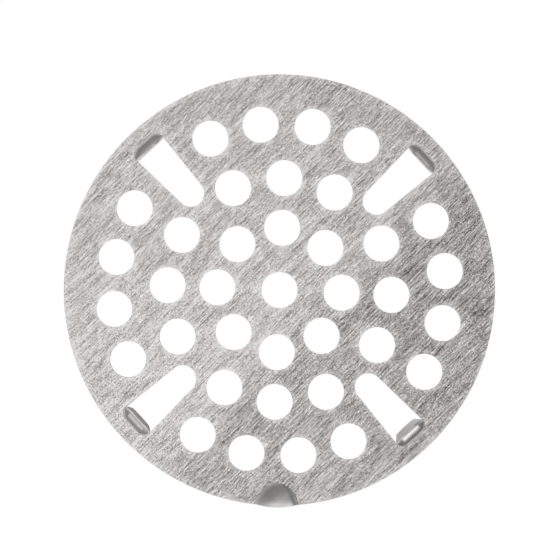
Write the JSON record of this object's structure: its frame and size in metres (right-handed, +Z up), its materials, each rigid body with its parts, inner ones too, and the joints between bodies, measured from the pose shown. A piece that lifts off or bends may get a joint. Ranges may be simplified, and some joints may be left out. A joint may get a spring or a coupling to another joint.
{
  "type": "floor drain grate",
  "caption": "Flat round snap-in drain strainer of brushed stainless sheet, with round drain holes, bent-down spring legs and a finger dimple at the rim.",
  "frame": {"origin": "centre of the disc on its underside, which is the face that rests on the drain's seat", "axes": "+Z up out of the drain, square to the disc; -Y towards the finger dimple; the four slots and legs lie on the diagonals between X and Y"},
  "size_m": [0.0762, 0.0765, 0.0143],
  "materials": {
    "brushed_plate": "straight brushed",
    "formed_leg": "smooth drawn"
  },
  "bodies": {
    "disc": {"strainer_plate": "brushed_plate"},
    "rear_right_leg": {"spring_leg_rear_right": "formed_leg"},
    "rear_left_leg": {"spring_leg_rear_left": "formed_leg"},
    "front_left_leg": {"spring_leg_front_left": "formed_leg"},
    "front_right_leg": {"spring_leg_front_right": "formed_leg"}
  },
  "joints": [
    {"name": "rear_right_flex", "type": "hinge", "parent": "disc", "child": "rear_right_leg", "pos_m": [0.02416, 0.02416, -0.00163], "axis": [-0.7071, 0.7071, 0], "range_deg": [-2, 4], "stiffness_Nm_per_rad": 11},
    {"name": "rear_left_flex", "type": "hinge", "parent": "disc", "child": "rear_left_leg", "pos_m": [-0.02416, 0.02416, -0.00163], "axis": [-0.7071, -0.7071, 0], "range_deg": [-2, 4], "stiffness_Nm_per_rad": 11},
    {"name": "front_left_flex", "type": "hinge", "parent": "disc", "child": "front_left_leg", "pos_m": [-0.02414, -0.02414, -0.00157], "axis": [0.7071, -0.7071, 0], "range_deg": [-2, 4], "stiffness_Nm_per_rad": 11},
    {"name": "front_right_flex", "type": "hinge", "parent": "disc", "child": "front_right_leg", "pos_m": [0.02412, -0.02412, -0.00153], "axis": [0.7071, 0.7071, 0], "range_deg": [-2, 4], "stiffness_Nm_per_rad": 11}
  ]
}
